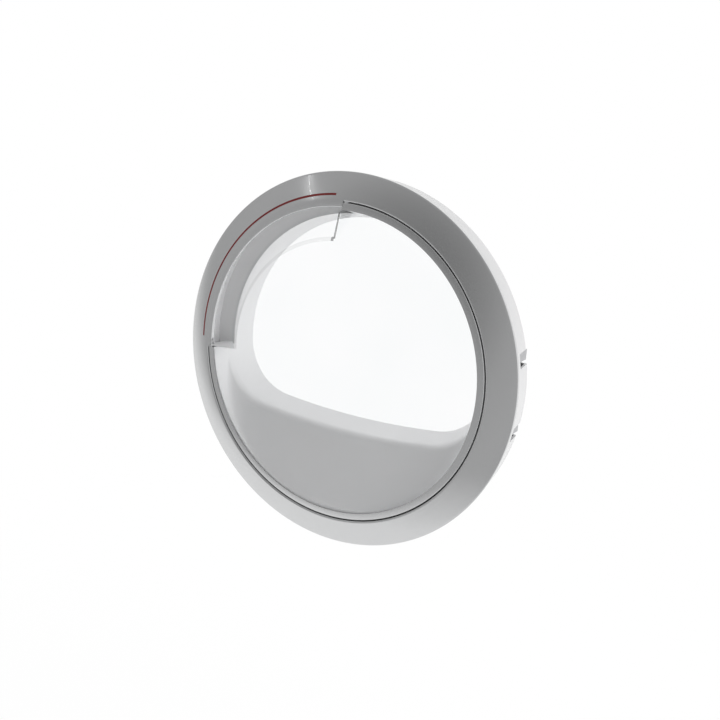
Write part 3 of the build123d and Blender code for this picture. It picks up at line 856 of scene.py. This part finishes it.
# Studio: a pale round floor well below the door, a bright surround and a round grey screen before the door.
# The ring mirrors the screen, which is darkest straight ahead and fades into the surround at its edges.
# A narrow strip light on the left draws one thin line of light on the ring.
floor_z = -0.7
floor_r = 1.6
floor_shift = Vector((-0.35, 0.1, 0))
floor_glow = 0.96
floor_fade = (0.55, 1.15)
dome_r = 2.0
dark_ahead = Vector((-0.06, -0.95, 0.33))
screen_tones = [(0.27, 0.47), (0.59, 0.5), (0.815, 0.46), (0.89, 0.385)]
strip_light_place = Vector((-1.159, -1.012, 0.873))
strip_light_run = Vector((-0.125, 0.333, 0.338))
strip_light_width = 0.005
glint_r = 222.0
glint_angle = 105.0
strip_light_height = 0.55
strip_light_power = 0.085
surround_light = 1.5
screen_cover = (-0.1, 0.25)
screen_end = (0.68, 0.9)
centre = place(0, 0)


def seen_rays(tree):
    """Output that is 1 on rays from the camera, also when mirrored or let through."""
    path = tree.nodes.new("ShaderNodeLightPath")
    seen = path.outputs["Is Camera Ray"]
    for ray in ("Is Glossy Ray", "Is Transmission Ray"):
        either = tree.nodes.new("ShaderNodeMath")
        either.operation = "MAXIMUM"
        tree.links.new(seen, either.inputs[0])
        tree.links.new(path.outputs[ray], either.inputs[1])
        seen = either.outputs[0]
    return seen


bpy.ops.object.select_all(action="DESELECT")
bpy.ops.mesh.primitive_circle_add(vertices=96, radius=floor_r, fill_type="NGON",
                                  location=centre + floor_shift + Vector((0, 0, floor_z)))
floor = bpy.context.object
floor.name = "studio_floor"
floor_finish = bpy.data.materials.new("studio_floor")
floor_finish.use_nodes = True
tree = floor_finish.node_tree
tree.nodes.remove(tree.nodes["Principled BSDF"])
matt = tree.nodes.new("ShaderNodeBsdfDiffuse")
matt.inputs["Color"].default_value = (0.9, 0.9, 0.9, 1)
glow = tree.nodes.new("ShaderNodeEmission")
most = tree.nodes.new("ShaderNodeMath")
most.operation = "MULTIPLY"
most.inputs[1].default_value = floor_glow
pale = tree.nodes.new("ShaderNodeMixShader")
coordinates = tree.nodes.new("ShaderNodeTexCoord")
length = tree.nodes.new("ShaderNodeVectorMath")
length.operation = "LENGTH"
edge = tree.nodes.new("ShaderNodeMapRange")
edge.inputs["From Min"].default_value = floor_fade[0]
edge.inputs["From Max"].default_value = floor_fade[1]
clear = tree.nodes.new("ShaderNodeBsdfTransparent")
faded = tree.nodes.new("ShaderNodeMixShader")
tree.links.new(seen_rays(tree), most.inputs[0])
tree.links.new(most.outputs[0], pale.inputs["Fac"])
tree.links.new(matt.outputs[0], pale.inputs[1])
tree.links.new(glow.outputs[0], pale.inputs[2])
tree.links.new(coordinates.outputs["Object"], length.inputs[0])
tree.links.new(length.outputs["Value"], edge.inputs["Value"])
tree.links.new(edge.outputs["Result"], faded.inputs["Fac"])
tree.links.new(pale.outputs[0], faded.inputs[1])
tree.links.new(clear.outputs[0], faded.inputs[2])
tree.links.new(faded.outputs[0], tree.nodes["Material Output"].inputs["Surface"])
floor.data.materials.append(floor_finish)

bpy.ops.object.select_all(action="DESELECT")
bpy.ops.mesh.primitive_uv_sphere_add(segments=96, ring_count=48, radius=dome_r, location=centre)
dome = bpy.context.object
dome.name = "front_screen"
dome.visible_camera = False
dome.visible_transmission = False
dome.visible_shadow = False
dome_finish = bpy.data.materials.new("front_screen")
dome_finish.use_nodes = True
tree = dome_finish.node_tree
tree.nodes.remove(tree.nodes["Principled BSDF"])
coordinates = tree.nodes.new("ShaderNodeTexCoord")
ahead = tree.nodes.new("ShaderNodeVectorMath")
ahead.operation = "DOT_PRODUCT"
ahead.inputs[1].default_value = dark_ahead.normalized() / dome_r
tone = tree.nodes.new("ShaderNodeValToRGB")
tone.color_ramp.elements[0].color = (0.9, 0.9, 0.9, 1)
tone.color_ramp.elements[1].color = (0.245, 0.245, 0.245, 1)
for position, grey in screen_tones:
    tone.color_ramp.elements.new(position).color = (grey, grey, grey, 1)
cover = tree.nodes.new("ShaderNodeMapRange")
cover.interpolation_type = "SMOOTHSTEP"
cover.inputs["From Min"].default_value = screen_cover[0]
cover.inputs["From Max"].default_value = screen_cover[1]
right = tree.nodes.new("ShaderNodeVectorMath")
right.operation = "DOT_PRODUCT"
right.inputs[1].default_value = (1 / dome_r, 0, 0)
right_end = tree.nodes.new("ShaderNodeMapRange")
right_end.inputs["From Min"].default_value = screen_end[0]
right_end.inputs["From Max"].default_value = screen_end[1]
right_end.inputs["To Min"].default_value = 1.0
right_end.inputs["To Max"].default_value = 0.0
share = tree.nodes.new("ShaderNodeMath")
share.operation = "MULTIPLY"
glow = tree.nodes.new("ShaderNodeEmission")
clear = tree.nodes.new("ShaderNodeBsdfTransparent")
faded = tree.nodes.new("ShaderNodeMixShader")
tree.links.new(coordinates.outputs["Object"], ahead.inputs[0])
tree.links.new(coordinates.outputs["Object"], right.inputs[0])
tree.links.new(right.outputs["Value"], right_end.inputs["Value"])
tree.links.new(ahead.outputs["Value"], tone.inputs["Fac"])
tree.links.new(ahead.outputs["Value"], cover.inputs["Value"])
tree.links.new(tone.outputs["Color"], glow.inputs["Color"])
tree.links.new(cover.outputs["Result"], share.inputs[0])
tree.links.new(right_end.outputs["Result"], share.inputs[1])
tree.links.new(share.outputs[0], faded.inputs["Fac"])
tree.links.new(clear.outputs[0], faded.inputs[1])
tree.links.new(glow.outputs[0], faded.inputs[2])
tree.links.new(faded.outputs[0], tree.nodes["Material Output"].inputs["Surface"])
dome.data.materials.append(dome_finish)

strip_light = bpy.data.lights.new("strip_light", "AREA")
strip_light.shape = "RECTANGLE"
strip_light.size = strip_light_width
strip_light.size_y = strip_light_height
strip_light.energy = strip_light_power
strip_lamp = bpy.data.objects.new("strip_light", strip_light)
strip_back = (strip_light_place - (place(glint_r, ring_face(glint_r), glint_angle) - centre)).normalized()
strip_side = strip_light_run.cross(strip_back).normalized()
strip_turn = Matrix((strip_side, strip_back.cross(strip_side), strip_back)).transposed()
strip_lamp.matrix_world = Matrix.Translation(centre + strip_light_place) @ strip_turn.to_4x4()
bpy.context.collection.objects.link(strip_lamp)

world = bpy.data.worlds.new("studio")
bpy.context.scene.world = world
world.use_nodes = True
tree = world.node_tree
surround = tree.nodes["Background"]
surround.inputs["Color"].default_value = (1, 1, 1, 1)
strength = tree.nodes.new("ShaderNodeMapRange")
strength.inputs["To Min"].default_value = surround_light
strength.inputs["To Max"].default_value = 1.0
tree.links.new(seen_rays(tree), strength.inputs["Value"])
tree.links.new(strength.outputs["Result"], surround.inputs["Strength"])


# Camera: to the right of the door and a little above it, slightly rolled, at the photo's distance.
# A small shift of the lens sets the door where the photo has it.
camera_azimuth = radians(30.73)
camera_elevation = radians(14.60)
camera_roll = radians(4.0)
camera_distance = 1.344
lens_length = 53.08
lens_shift = (0.0269, 0.0046)
view_back = Vector((sin(camera_azimuth) * cos(camera_elevation),
                    -cos(camera_azimuth) * cos(camera_elevation), sin(camera_elevation)))
view_right = Vector((cos(camera_azimuth), sin(camera_azimuth), 0))
view_up = view_back.cross(view_right)
rolled_right = cos(camera_roll) * view_right + sin(camera_roll) * view_up
rolled_up = cos(camera_roll) * view_up - sin(camera_roll) * view_right
lens = bpy.data.cameras.new("photo_view")
lens.lens = lens_length
lens.sensor_width = 36
lens.shift_x, lens.shift_y = lens_shift
camera = bpy.data.objects.new("photo_view", lens)
camera_place = centre + camera_distance * view_back
camera_turn = Matrix((rolled_right, rolled_up, view_back)).transposed()
camera.matrix_world = Matrix.Translation(camera_place) @ camera_turn.to_4x4()
bpy.context.collection.objects.link(camera)
bpy.context.scene.camera = camera
bpy.context.scene.view_settings.view_transform = "Standard"
